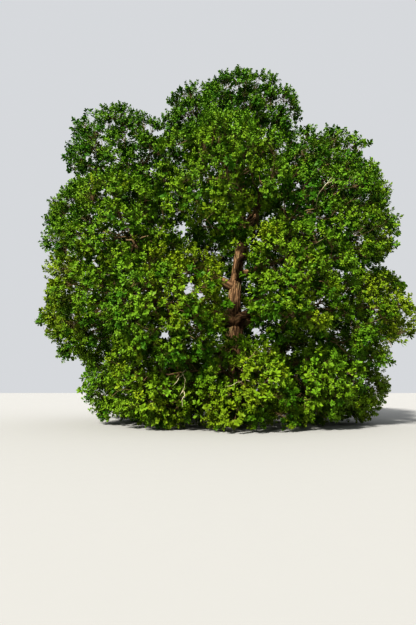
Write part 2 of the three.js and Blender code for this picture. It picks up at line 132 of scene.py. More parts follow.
# Bark relief on trunk and boughs
TRUNK_SIDES = 104
TRUNK_RINGS = 170
BOUGH_SIDES = 24
BOUGH_RINGS = 52
FISSURE_SPACING = 0.1  # across the limb
FISSURE_LENGTH = 0.42  # along the limb
FISSURE_WIDTH = 0.42  # as a share of the spacing
FISSURE_DEPTH = 0.06  # as a share of the limb's radius
FISSURE_WANDER = 1.4  # how far fissures wander, in spacings
FISSURE_WANDER_SCALE = 0.7  # wanders to a spacing
FINE_FISSURES = 2.1  # fine fissures to a spacing
FINE_FISSURE_DEPTH = 0.45  # over the depth of the main ones
WANDER_SEED, FINE_SEED, BURR_SEED = 31, 7, 3  # each added to the limb's own seed
BURR_SIZE = 0.55
BURR_HEIGHT = 0.16  # as a share of the limb's radius
COLLAR_SWELL = 0.3  # how much a bough widens where it leaves the trunk, as a share of its radius
COLLAR_LENGTH = 0.45

# Clumps of foliage in each mass
FOLIAGE_SEED = 131  # of the first mass, and one more for each mass after it
CLUMP_TRIES = 420  # directions tried in each mass
OUTER_SPACING = 0.98  # between the middles of clumps in the fullest ring
OUTER_INSET = (0.28, 1.15)  # from the space's edge to the clump's middle
INNER_SPACING = 0.98  # the same for the ones inside
INNER_SHARE = (0.1, 0.95)  # of the room in a direction, squared
FOOT = 0.4  # foliage that ends under this height is at the foot of the tree
KEPT_INWARDS = 0.65  # share of the clumps that is kept on the side towards the trunk
INWARDS = -0.25  # cosine between a direction and the way out from the trunk below which it is inwards
OUTWARDS_RISE = 1.5  # how far under a mass's middle the way out from the trunk starts
DIRECTION_JITTER = 0.06
LEAST_DISTANCE = 0.5  # from a mass's middle to a clump's
CLUMP_RADIUS = (0.5, 0.74)
CLUMP_FLATNESS = 0.75
CLUMP_LIFT = 0.45  # how far a clump turns from facing out to facing up

# Branches that join the clumps to the stem
CHAIN_POINTS = 6
BRANCH_SIDES = 4
BRANCH_SWAY = 0.042  # as a share of a branch's length
BRANCH_LEAVING = 0.45  # length over which it keeps its first direction, as a share of its own
BRANCH_LIFT = 0.05  # how far it arches up, as a share of its length
CLUMP_FOOT = 0.35  # from a clump's middle down to the end of its branch, as a share of its radius
PIPE_POWER = 0.46  # a branch's radius grows with this power of the number of clumps that it bears
CLUMP_BRANCH_RADIUS = 0.014
LENGTH_COST = 0.3  # weight of the way back to the bough when a clump picks where to join
TURN_COST = 0.45  # extra cost of a joint that turns right back

# Sprays: a twig with a rosette of leaves at its end. Fine sprays cover the clumps, and coarse ones with
# plainer and larger leaves fill them and the inside of the crown.
OUTER_SPRAYS = 22
BACKING_SPRAYS = 4  # coarse ones in each outer clump
INNER_SPRAYS = 8  # coarse ones in each inner clump
SPRAY_CAP = -0.2  # cosine of the widest angle between a clump's axis and its sprays
BACKING_REACH = 0.45  # of the clump's radius
SPRAY_REACH = (0.72, 1.08)  # of the clump's radius
SPRAY_JITTER = 0.12
SPRAY_ROOTS = 3  # points at the end of the clump's branch from which twigs start
SPRAY_OUT = 0.5  # how far a spray turns from its twig's direction to the clump's axis
SPRAY_LIFT = 0.25  # and to facing up
SPRAY_MARGIN = 0.04  # from a spray's middle to the edge of the mass's space
TWIG_SIDES = 3
TWIG_RADIUS = 0.007
LEAF_SIZES = (0.78, 1.15)
LEAF_WIDTH = (0.85, 1.1)
LEAF_OPENING = (0.5, 1.7)  # angle from the twig to the innermost and the outermost leaf, in radians
LEAF_OPENING_JITTER = 0.16
LEAF_TURN_JITTER = 0.25
LEAF_ROLL = 0.38
LEAF_LIFT = 0.35  # how far a leaf's upper side turns from the twig's direction to facing up
LEAF_DROOP = (0.02, 0.22)
LEAF_STEP = 0.016  # between the roots of two leaves along the twig
GOLDEN_ANGLE = math.pi * (3 - math.sqrt(5))
# Outline of a leaf: share of its length, half width and height of each corner
FINE = SimpleNamespace(
    count=13,
    length=0.132,
    outline=np.array([(0, 0, 0), (0.55, 0.33, 0.06), (1.0, 0.04, 0), (0.66, -0.34, 0.06)]),
    faces=np.array([(0, 3, 1), (1, 3, 2)]),
)
COARSE = SimpleNamespace(
    count=12,
    length=0.216,
    outline=np.array([(0, 0, 0), (0.52, 0.32, 0.06), (1.0, 0, 0), (0.62, -0.32, 0.06)]),
    faces=np.array([(0, 3, 1), (1, 3, 2)]),
)

# Dead wood that shows: each bare branch from where it comes out of the leaves to its tip
DEAD_BRANCHES = [
    [(-2.76, -6.75, 2.36), (-2.6, -6.8, 2.0), (-2.73, -6.9, 1.72), (-2.93, -6.95, 1.32)],
    [(-2.7, -6.9, 1.66), (-2.66, -6.95, 1.5), (-2.77, -7.0, 1.24), (-2.73, -7.0, 0.95)],
    [(-2.75, -6.8, 2.3), (-2.9, -6.95, 2.12), (-3.08, -7.05, 1.84)],
    [(-0.3, -7.2, 2.05), (-0.58, -8.0, 1.97), (-0.81, -8.1, 1.89), (-0.95, -8.15, 1.74), (-1.14, -8.2, 1.78)],
    [(2.78, -7.75, 9.62), (3.02, -7.85, 9.83), (3.12, -7.9, 10.05), (3.41, -7.95, 10.28)],
    [(3.08, -7.88, 9.95), (3.28, -8.0, 9.98), (3.4, -8.1, 10.06)],
]
DEAD_POINTS = 9
DEAD_SWAY = 0.015
DEAD_RADIUS = 0.024
DEAD_TAPER = 0.4  # end radius over start radius
DEAD_CLEARANCE = 0.1  # kept free of leaves round them
DEAD_WEIGHTS = (1, 0.4, 2.5)  # what a metre along X, Y and Z counts for when one picks its wood

# Bark colours: plates, shaded plates, lichen and the size of their patches and grain
BARKS = dict(
    old=dict(plate=(0.34, 0.215, 0.12), shaded=(0.16, 0.1, 0.055), lichen=(0.27, 0.22, 0.11),
             patches=1.6, grain=24, relief=True),
    young=dict(plate=(0.23, 0.16, 0.09), shaded=(0.1, 0.072, 0.04), lichen=(0.2, 0.19, 0.1),
               patches=2.5, grain=40, relief=False),
    dead=dict(plate=(0.5, 0.45, 0.33), shaded=(0.3, 0.25, 0.17), lichen=(0.42, 0.4, 0.28),
              patches=4, grain=50, relief=False),
)
PATCH_DETAIL = 4
GRAIN_DETAIL = 6
PATCH_STOPS = (0.33, 0.5, 0.68)  # of shaded plates, plates and lichen
GRAIN_STOPS = (0.3, 0.7)
GRAIN_TONES = (0.55, 1.2)
FISSURE_PAINTED_SHADE = 0.3  # painted shade in a fissure: its brightness over that of shaded plates
BARK_ROUGHNESS = (0.75, 1.0)
BARK_SPECULAR = 0.1
BARK_BUMP = 0.6
BUMP_DISTANCE = 0.01

# Greens: the darkest and the lightest, how far apart their steps are, and how each warmth changes them
GREEN_DARK = np.array([0.048, 0.118, 0.004])
GREEN_LIGHT = np.array([0.162, 0.252, 0.016])
GREEN_SHARES = (0, 0.5, 0.77, 1)
GREEN_STEPS = len(GREEN_SHARES)
WARMTHS = [("cool", (0.88, 1.0, 1.2)), ("fresh", (1.0, 1.0, 1.0)), ("olive", (1.2, 1.02, 0.95))]
LEAF_ROUGHNESS = (0.4, 0.75)
LEAF_SPECULAR = 0.16
LEAF_BLOTCHES = 14  # to a metre
LEAF_VEINS = 60  # to a metre
LEAF_BUMP = 0.25

# How light and how warm sprays are. Their lightness is partly painted light and shade and partly random.
# Light runs from 0 to 1. Places have a middle, a radius and a gain.
BASE_LIGHT = 0.42
PAINTED_LIGHT_BY_LIFT = 0.22  # painted light: gained by a spray that faces up
CLUMP_SHADING = 0.12  # spread between clumps
SPRAY_SHADING = 0.08  # spread between the sprays of a clump
LIGHT_BY_HEIGHT = -0.013  # to a metre
LIGHT_LEVEL = 7  # height at which that is nil
# Painted light and painted shade: sprays lighter in lit places at the left and high at the front, darker in a
# shaded place low at the front
PAINTED_LIGHT_AND_SHADE_PLACES = [
    ((-6.3, -5.0, 8.3), 3.6, 0.12), ((-0.7, -8.0, 2.3), 3.2, -0.12), ((-1.5, -6.0, 11.2), 4.2, 0.14),
]
COARSE_PAINTED_SHADE = ((3, 7), (0.05, 0.3))  # painted shade inside the crown: heights, and how much darker coarse sprays are painted there
BASE_WARMTH = -0.75
BROAD_WARMTH = SimpleNamespace(size=2.6, share=1.0, seed=5)
LOCAL_WARMTH = SimpleNamespace(size=0.8, share=0.5, seed=6)
WARMTH_JITTER = 0.12
WARMTH_BY_HEIGHT = -0.036  # to a metre
WARMTH_LEVEL = 5  # height at which that is nil
OLIVE_PLACES = [((-2.4, -6.5, 6.2), 2.2, 0.5), ((6.4, -5.0, 5.2), 2.2, 0.5), ((-8.8, -4.0, 6.6), 2.6, 0.5)]
WARMTH_LIMITS = (-0.14, 0.27)  # between cool and fresh, and between fresh and olive

# Stage, light and camera
PHOTO_HEIGHT = 625
FOCAL_PIXELS = 450
CAMERA_PITCH = 10  # degrees above level
SENSOR = 36  # millimetres, along the photograph's long side
FLOOR_SIZE = 1200
FLOOR_DROP = 0.002  # below ground level
FLOOR_COLOUR = (0.36, 0.36, 0.35)
FLOOR_ROUGHNESS = (0.85, 1.0)
FLOOR_MOTTLE = 3  # to a metre
SUN_STRENGTH = 6.2
SUN_WIDTH = 6  # degrees
SUN_COLOUR = (1.0, 0.96, 0.9)
SKY_STRENGTH = 0.53
SKY_COLOUR = (0.95, 0.97, 1.0)

UP = np.array([0.0, 0.0, 1.0])
ASIDE = np.array([0.31, 0.95, 0.05])  # a direction that hardly any twig takes
STEEP = 0.9  # a tube that rises more than this share of its length is steep


def unit(vectors):
    return vectors / np.maximum(np.linalg.norm(vectors, axis=-1, keepdims=True), 1e-9)


def across(a, b):
    """Unit vectors at right angles to both."""
    return unit(np.cross(a, b))


def lerp(a, b, share):
    return a + (b - a) * share


# Seeded numbers and noise
def seeded_draw(seed):
    """The sequence of numbers from 0 to 1 that lays out the solids."""
    state = seed

    def draw():
        nonlocal state
        state = (state + 0x6D2B79F5) & 0xFFFFFFFF
        t = ((state ^ (state >> 15)) * (state | 1)) & 0xFFFFFFFF
        t ^= (t + (t ^ (t >> 7)) * (t | 61)) & 0xFFFFFFFF
        return (t ^ (t >> 14)) / 4294967296

    return draw


def corner_values(cells, seed):
    """A number from 0 to 1 for each corner of a grid."""
    x, y, z = cells.astype(np.int64).astype(np.uint64).T
    h = x * np.uint64(374761393) + y * np.uint64(668265263) + z * np.uint64(2147483647) + np.uint64(seed * 97)
    h = (h ^ (h >> np.uint64(29))) * np.uint64(0x9E3779B97F4A7C15)
    return (h >> np.uint64(40)).astype(float) / (1 << 24)


def noise(points, seed):
    """Smooth noise from 0 to 1, with one swell to a unit of length."""
    cells = np.floor(points)
    share = points - cells
    share = share * share * (3 - 2 * share)
    total = np.zeros(len(points))
    for corner in itertools.product((0, 1), repeat=3):
        weight = np.prod(np.where(corner, share, 1 - share), axis=1)
        total += weight * corner_values(cells + corner, seed)
    return total


# Layout of masses and limbs, by the rule of the solids
def make_masses():
    draw = seeded_draw(CROWN_SEED)
    masses = []
    for ring in RINGS:
        count = 2 * ring.boughs
        for k in range(count):
            azimuth = math.radians(ring.phase + 360 * k / count + AZIMUTH_JITTER * (draw() - 0.5))
            reach = ring.reach * (1 + REACH_JITTER * (draw() - 0.5))
            x = reach * math.cos(azimuth)
            y = reach * ring.depth * math.sin(azimuth)
            stagger = -ring.stagger if k % 2 else ring.stagger
            slope = ring.tilt * x + ring.drop * min(y, 0)
            z = ring.height + slope + stagger + HEIGHT_JITTER * (draw() - 0.5)
            middle = np.array([x + ring.lean, y, z])
            masses.append(SimpleNamespace(ring=ring, name=f"{ring.name}_mass_{k + 1}", middle=middle))
    return masses


def tip_of(first, second):
    """Where the bough of two masses ends: on the plane midway between them, on the trunk's side."""
    ring = first.ring
    side = unit(second.middle - first.middle)
    middle = (first.middle + second.middle) / 2
    inwards = (np.array([ring.lean, 0, 0]) - middle) * [1, 1, 0]
    inset = min(TIP_INSET * ring.spread, MOST_INSET * np.linalg.norm(inwards))
    offset = unit(inwards) * inset + UP * ring.entry
    offset = offset - side * (offset @ side)
    return SimpleNamespace(tip=middle + offset, arrival=-unit(offset), side=side)


def trunk_radius(height):
    return np.interp(height, *zip(*TRUNK_STATIONS))


def trunk_line(tip):
    def at(t):
        sway = TRUNK_SWAY * np.sin(np.pi * t)
        x = tip[0] * t * t - sway * np.sin(TRUNK_BEND_X * t)
        y = tip[1] * t * t + sway * t * np.sin(TRUNK_BEND_Y * t + TRUNK_BEND_START)
        return np.stack([x, y, tip[2] * t], axis=-1)

    return at


def bough_line(start, end, climb, draw):
    out = (end.tip - start) * [1, 1, 0]
    length = np.linalg.norm(end.tip - start)
    out = unit(out)
    leave = unit(out + UP * climb)
    knots = [
        start,
        start + leave * BOUGH_LEAVING * length,
        end.tip - end.arrival * BOUGH_ARRIVING * length,
        end.tip,
    ]
    side = np.array([-out[1], out[0], 0])
    turns = LEAST_TURNS + draw()
    phase = 2 * math.pi * draw()

    def at(t):
        t = np.asarray(t, float)[..., None]
        arc = sum(
            math.comb(3, i) * t**i * (1 - t) ** (3 - i) * knot for i, knot in enumerate(knots)
        )
        swing = BOUGH_SWAY * length * np.sin(np.pi * t)
        angle = 2 * np.pi * turns * t + phase
        return arc + side * swing * np.sin(angle) + UP * BOUGH_RISE * swing * np.cos(angle)

    return at, side


def make_limbs(masses):
    """The trunk, and a bough for each pair of masses but the one that the trunk's own tip carries."""
    draw = seeded_draw(BOUGH_SEED)
    top_pair = masses[-2 * RINGS[-1].boughs:][:2]
    end = tip_of(*top_pair)
    height = end.tip[2]
    line = trunk_line(end.tip)
    limbs = [
        SimpleNamespace(
            name="trunk", line=line, side=np.array([0.0, 1.0, 0.0]), end=end, carries=top_pair,
            radius_at=lambda t: trunk_radius(t * height), seed=1,
        )
    ]
    for i in range(0, len(masses), 2):
        pair = masses[i: i + 2]
        if pair[0] is top_pair[0]:
            continue
        ring = pair[0].ring
        end = tip_of(*pair)
        start = line(lerp(*ring.leaves, draw()) / height)
        girth = ring.girth * (1 + GIRTH_JITTER * (draw() - 0.5))
        at, side = bough_line(start, end, ring.climb, draw)
        number = (int(pair[0].name.split("_")[-1]) + 1) // 2
        limbs.append(
            SimpleNamespace(
                name=f"{ring.name}_bough_{number}", line=at, side=side, end=end, carries=pair, seed=i + 2,
                radius_at=lambda t, girth=girth: girth + (TIP_RADIUS - girth) * t**BOUGH_TAPER,
            )
        )
    for limb in limbs:
        for i, mass in enumerate(limb.carries):
            shift = limb.end.side * (i - 0.5) * TIP_RADIUS - limb.end.arrival * STEM_OVERLAP
            mass.root = limb.end.tip + shift
            mass.arrival = limb.end.arrival
    return limbs


# The space of each mass
def lane_lines():
    lines = []
    for at, radius, beyond in LANES:
        target = np.array(at, float)
        lines.append((VIEWPOINT, target + unit(target - VIEWPOINT) * beyond, radius))
    for at, radius in SUN_LANES:
        lines.append((np.array(at), at + unit(np.array(SUN_FROM)) * SUN_LANE_LENGTH, radius))
    return lines


def distance_to_lanes(points, lines):
    nearest = np.full(len(points), np.inf)
    for start, end, radius in lines:
        way = end - start
        share = np.clip((points - start) @ way / (way @ way), 0, 1)
        apart = np.linalg.norm(points - start - share[:, None] * way, axis=1)
        nearest = np.minimum(nearest, apart - radius)
    return nearest + LANE_RAGGEDNESS * (noise(points / LANE_BAYS, LANE_SEED) - LANE_WIDENING)


def inside_space(mass, points, crown):
    """How far inside a mass's own space points lie. Negative is outside. The space is the mass's
    ellipsoid, cut off halfway to each neighbour, at the ground and at the lanes."""
    spread, rise = mass.ring.spread, mass.ring.rise
    q = np.linalg.norm((points - mass.middle) / [spread, spread, rise], axis=1)
    inside = (1 - q) * min(spread, rise)
    own = ((points - mass.middle) ** 2).sum(1) - spread * rise
    for other in crown.masses:
        apart = np.linalg.norm(mass.middle - other.middle)
        if other is mass or apart > 2 * spread + 2 * other.ring.spread:
            continue
        power = ((points - other.middle) ** 2).sum(1) - other.ring.spread * other.ring.rise
        inside = np.minimum(inside, (power - own) / (2 * apart) - CELL_GAP / 2)
    inside = np.minimum(inside, points[:, 2] - GROUND_CLEARANCE)
    return np.minimum(inside, distance_to_lanes(points, crown.lanes))


def distance_to_limbs(mass, points, crown):
    """Distance from points to the side of the nearest limb, counting only limbs near the mass."""
    reach = 2 * mass.ring.spread
    near = np.linalg.norm(crown.limb_points - mass.middle, axis=1) < reach
    if not near.any():
        return np.full(len(points), reach)
    apart = np.linalg.norm(points[:, None] - crown.limb_points[near], axis=2)
    return (apart - crown.limb_radii[near]).min(axis=1)


def room_along(mass, directions, crown):
    """How far a mass's space runs from its middle in each direction."""
    steps = np.arange(ROOM_STEP, ROOM_REACH * max(mass.ring.spread, mass.ring.rise), ROOM_STEP)
    points = (mass.middle + directions[:, None] * steps[:, None]).reshape(-1, 3)
    free = inside_space(mass, points, crown) >= 0
    free[free] = distance_to_limbs(mass, points[free], crown) >= LIMB_CLEARANCE
    free = free.reshape(len(directions), len(steps))
    count = np.where(free.all(axis=1), len(steps), free.argmin(axis=1))
    return count * ROOM_STEP


def even_directions(count, lowest, turn):
    """Directions spread evenly over a sphere, or over the cap of it where z is over the lowest."""
    z = 1 - (1 - lowest) * (np.arange(count) + 0.5) / count
    angle = np.arange(count) * GOLDEN_ANGLE + turn
    level = np.sqrt(1 - z * z)
    return np.stack([level * np.cos(angle), level * np.sin(angle), z], axis=-1)


def turned(directions, axis):
    """Directions given round +Z, turned to lie round an axis."""
    side = across(axis, ASIDE)
    third = np.cross(axis, side)
    return directions[..., :1] * side + directions[..., 1:2] * third + directions[..., 2:] * axis


# Clumps
def find_clumps(mass, crown, rng):
    """The middle, axis and kind of each clump of a mass: outer ones near the edge of its space that are
    spread evenly, then a few inside."""
    directions = even_directions(CLUMP_TRIES, -1, 2 * math.pi * rng.random())
    directions = unit(directions + rng.normal(0, DIRECTION_JITTER, directions.shape))
    room = room_along(mass, directions, crown)
    spread, rise = mass.ring.spread, mass.ring.rise
    open_way = room * np.linalg.norm(directions / [spread, spread, rise], axis=1) > OPEN_SHARE
    open_way |= mass.middle[2] + room * directions[:, 2] < FOOT
    away = unit(mass.middle - [mass.ring.lean, 0, mass.middle[2] - OUTWARDS_RISE])
    kept = (directions @ away > INWARDS) | (rng.random(len(directions)) < KEPT_INWARDS)
    outer_at = room - rng.uniform(*OUTER_INSET, len(room))
    inner_at = room * np.sqrt(rng.uniform(*INNER_SHARE, len(room)))
    clumps = []
    order = rng.permutation(len(directions))
    for outer in (True, False):
        spacing = mass.ring.closeness * (OUTER_SPACING if outer else INNER_SPACING)
        for i in order:
            distance = outer_at[i] if outer else inner_at[i]
            if distance < LEAST_DISTANCE or not kept[i] or (outer and not open_way[i]):
                continue
            middle = mass.middle + directions[i] * distance
            if any(np.linalg.norm(middle - c.middle) < spacing for c in clumps):
                continue
            axis = unit(directions[i] + UP * CLUMP_LIFT)
            radius = rng.uniform(*CLUMP_RADIUS)
            clumps.append(SimpleNamespace(middle=middle, axis=axis, outer=outer, radius=radius))
    return clumps


# Branches
def curve(start, heading, end, rng):
    """Points of a branch that leaves along a heading, bends to its end and sways a little."""
    length = np.linalg.norm(end - start)
    bend = start + heading * BRANCH_LEAVING * length + UP * BRANCH_LIFT * length
    t = np.linspace(0, 1, CHAIN_POINTS)[:, None]
    path = (1 - t) ** 2 * start + 2 * t * (1 - t) * bend + t * t * end
    sway = rng.normal(0, BRANCH_SWAY * length, (CHAIN_POINTS, 3)) * np.sin(np.pi * t)
    return path + sway


def grow_branches(mass, clumps, rng):
    """Joins each clump to what has already grown, from the stem outwards. Each branch is a chain of
    points. Returns the chains with the radius at each of their points."""
    stem = curve(mass.root, mass.arrival, mass.middle, rng)
    points, headings, ways, parents = [], [], [], []

    def add(chain, parent, way):
        """Adds a chain's points. The first one lies on its parent, which keeps its own."""
        indices = []
        steps = unit(np.diff(chain, axis=0))
        for k, point in enumerate(chain):
            if k == 0 and parent is not None:
                indices.append(parent)
                continue
            points.append(point)
            headings.append(steps[max(k - 1, 0)])
            parents.append(indices[-1] if indices else None)
            way += 0 if k == 0 else np.linalg.norm(point - chain[k - 1])
            ways.append(way)
            indices.append(len(points) - 1)
        return indices

    chains = [add(stem, None, 0.0)]
    ends = []
    order = np.argsort([np.linalg.norm(c.middle - mass.root) for c in clumps])
    for i in order:
        clump = clumps[i]
        target = clump.middle - clump.axis * CLUMP_FOOT * clump.radius
        gap = target - np.array(points)
        apart = np.linalg.norm(gap, axis=1)
        turn = 1 - np.sum(unit(gap) * np.array(headings), axis=1)
        cost = apart * (1 + TURN_COST * turn) + LENGTH_COST * np.array(ways)
        cost[0] = np.inf
        nearest = int(np.argmin(cost))
        chain = curve(points[nearest], headings[nearest], target, rng)
        clump.branch = chain
        indices = add(chain, nearest, ways[nearest])
        chains.append(indices)
        ends.append(indices[-1])
    load = np.zeros(len(points))
    for end in ends:
        at = end
        while at is not None:
            load[at] += 1
            at = parents[at]
    places = np.array(points)
    grown = []
    for indices in chains:
        loads = load[indices]
        loads[0] = loads[1]
        grown.append((places[indices], CLUMP_BRANCH_RADIUS * loads**PIPE_POWER))
    return grown


# Sprays
def grow_sprays(mass, clumps, crown, rng):
    """The sprays of each clump: where its twig starts and ends, the way it points, its kind and shade."""
    sprays = []
    for clump in clumps:
        shade = rng.normal(0, CLUMP_SHADING)
        kinds = [(FINE, OUTER_SPRAYS, 1.0), (COARSE, BACKING_SPRAYS, BACKING_REACH)]
        for kind, count, share in kinds if clump.outer else [(COARSE, INNER_SPRAYS, 1.0)]:
            ways = turned(even_directions(count, SPRAY_CAP, 2 * math.pi * rng.random()), clump.axis)
            ways = unit(ways + rng.normal(0, SPRAY_JITTER, ways.shape))
            reach = share * clump.radius * rng.uniform(*SPRAY_REACH, (count, 1))
            offset = ways * reach
            offset -= clump.axis * (offset @ clump.axis)[:, None] * (1 - CLUMP_FLATNESS)
            ends = clump.middle + offset
            inside = inside_space(mass, ends, crown)
            clear = distance_to_limbs(mass, ends, crown)
            for k in range(count):
                if inside[k] < SPRAY_MARGIN or clear[k] < SPRAY_CLEARANCE:
                    continue
                start = clump.branch[-1 - rng.integers(0, SPRAY_ROOTS)]
                axis = unit(ways[k] + clump.axis * SPRAY_OUT + UP * SPRAY_LIFT)
                sprays.append(SimpleNamespace(start=start, end=ends[k], axis=axis, kind=kind, shade=shade))
    return sprays


def grow_leaves(sprays, kind, rng):
    """A rosette of leaves at the end of each spray's twig. Returns the corners of each leaf, and the
    number of its spray."""
    ends = np.array([s.end for s in sprays])
    axes = np.array([s.axis for s in sprays])
    k = np.arange(kind.count)
    turn = k * GOLDEN_ANGLE + rng.uniform(0, 2 * math.pi, (len(sprays), 1))
    turn = turn + rng.normal(0, LEAF_TURN_JITTER, turn.shape)
    opening = lerp(*LEAF_OPENING, (k + 0.5) / kind.count)
    opening = opening + rng.normal(0, LEAF_OPENING_JITTER, turn.shape)
    side = across(axes, ASIDE)
    third = np.cross(axes, side)
    spoke = np.cos(turn)[..., None] * side[:, None] + np.sin(turn)[..., None] * third[:, None]
    along = unit(np.cos(opening)[..., None] * axes[:, None] + np.sin(opening)[..., None] * spoke)
    root = ends[:, None] - axes[:, None] * (LEAF_STEP * k)[None, :, None]
    face = axes[:, None] + LEAF_LIFT * UP
    face = unit(face - along * np.sum(face * along, axis=-1, keepdims=True))
    width = np.cross(face, along)
    roll = rng.normal(0, LEAF_ROLL, turn.shape)[..., None]
    face, width = face * np.cos(roll) + width * np.sin(roll), width * np.cos(roll) - face * np.sin(roll)
    size = kind.length * rng.uniform(*LEAF_SIZES, turn.shape)[..., None, None]
    breadth = rng.uniform(*LEAF_WIDTH, turn.shape)[..., None, None]
    droop = rng.uniform(*LEAF_DROOP, turn.shape)[..., None, None]
    a, b, n = kind.outline[:, 0:1], kind.outline[:, 1:2], kind.outline[:, 2:3]
    corners = root[..., None, :] + size * (
        a * along[..., None, :] + breadth * b * width[..., None, :] + (n - droop * a * a) * face[..., None, :]
    )
    corners = corners.reshape(-1, len(kind.outline), 3)
    owner = np.repeat(np.arange(len(sprays)), kind.count)
    fits = corners[..., 2].min(axis=1) > GROUND_CLEARANCE / 2
    return corners[fits], owner[fits]


def leaf_faces(kind, count):
    """Triangles of a number of leaves."""
    return (kind.faces + (np.arange(count) * len(kind.outline))[:, None, None]).reshape(-1, 3)


# Meshes
def tube_faces(count, rings, sides):
    """Triangles of tubes that each have rings of corners and then one corner at the tip."""
    ring, side = np.meshgrid(np.arange(rings - 1), np.arange(sides), indexing="ij")
    a = ring * sides + side
    b = ring * sides + (side + 1) % sides
    walls = np.stack([a, b, b + sides, a, b + sides, a + sides], axis=-1).reshape(-1, 3)
    last = (rings - 1) * sides + np.arange(sides)
    after = (rings - 1) * sides + (np.arange(sides) + 1) % sides
    tip = np.full(sides, rings * sides)
    one = np.concatenate([walls, np.stack([last, after, tip], axis=-1)])
    shift = np.arange(count) * (rings * sides + 1)
    return (one + shift[:, None, None]).reshape(-1, 3)


def tubes(paths, radii, sides):
    """Tapered tubes along paths. The last point of a path is the tube's tip."""
    tangent = unit(np.gradient(paths, axis=1))[:, :-1]
    middle = unit(paths[:, -1] - paths[:, 0])
    helper = np.where(np.abs(middle[:, 2:]) > STEEP, [1.0, 0.0, 0.0], UP)[:, None]
    normal = across(helper, tangent)
    binormal = np.cross(tangent, normal)
    angle = 2 * np.pi * np.arange(sides) / sides
    spokes = (
        normal[:, :, None] * np.cos(angle)[:, None] + binormal[:, :, None] * np.sin(angle)[:, None]
    )
    rings = paths[:, :-1, None] + spokes * radii[:, :, None, None]
    count, length = radii.shape
    corners = np.concatenate([rings.reshape(count, -1, 3), paths[:, -1:]], axis=1)
    return corners.reshape(-1, 3), tube_faces(count, length, sides)


def joined(parts):
    """Several sets of corners and triangles as one."""
    corners, faces, start = [], [], 0
    for part_corners, part_faces in parts:
        corners.append(part_corners)
        faces.append(part_faces + start)
        start += len(part_corners)
    return np.concatenate(corners), np.concatenate(faces)


def new_piece(name, corners, faces, materials, material_of=None):
    mesh = bpy.data.meshes.new(name)
    mesh.vertices.add(len(corners))
    mesh.vertices.foreach_set("co", corners.astype(np.float32).ravel())
    mesh.loops.add(faces.size)
    mesh.loops.foreach_set("vertex_index", faces.astype(np.int32).ravel())
    mesh.polygons.add(len(faces))
    mesh.polygons.foreach_set("loop_start", np.arange(0, faces.size, 3, dtype=np.int32))
    mesh.polygons.foreach_set("use_smooth", np.ones(len(faces), bool))
    for material in materials:
        mesh.materials.append(material)
    if material_of is not None:
        mesh.polygons.foreach_set("material_index", material_of.astype(np.int32))
    mesh.update(calc_edges=True)
    piece = bpy.data.objects.new(name, mesh)
    bpy.context.scene.collection.objects.link(piece)
    return piece


def carried(piece, replaced):
    """Says what a piece rides on and what it stands for."""
    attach(piece, "root")
    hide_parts(*[solid.name for solid in replaced])


# Bark
def fissures(angle, radius, length, seed):
    """How deep the bark is cut at places on a limb, from 0 on a plate to 1 in a fissure."""
    girth = radius / FISSURE_SPACING
    place = np.stack([girth * np.cos(angle), girth * np.sin(angle), length / FISSURE_LENGTH], axis=-1)
    place = place.reshape(-1, 3)
    wander = noise(FISSURE_WANDER_SCALE * place, seed + WANDER_SEED)[:, None] - 0.5
    bent = place + wander * FISSURE_WANDER
    crest = np.abs(noise(bent, seed) - 0.5) * 2
    fine = np.abs(noise(FINE_FISSURES * bent, seed + FINE_SEED) - 0.5) * 2
    cut = np.clip(1 - crest / FISSURE_WIDTH, 0, 1)
    cut = cut + FINE_FISSURE_DEPTH * np.clip(1 - fine / FISSURE_WIDTH, 0, 1)
    return np.minimum(cut, 1).reshape(angle.shape)


def burrs(angle, radius, length, seed):
    """Broad lumps of old wood, from -1 to 1."""
    place = np.stack([radius * np.cos(angle), radius * np.sin(angle), length], axis=-1).reshape(-1, 3)
    return 2 * noise(place / BURR_SIZE, seed + BURR_SEED).reshape(angle.shape) - 1


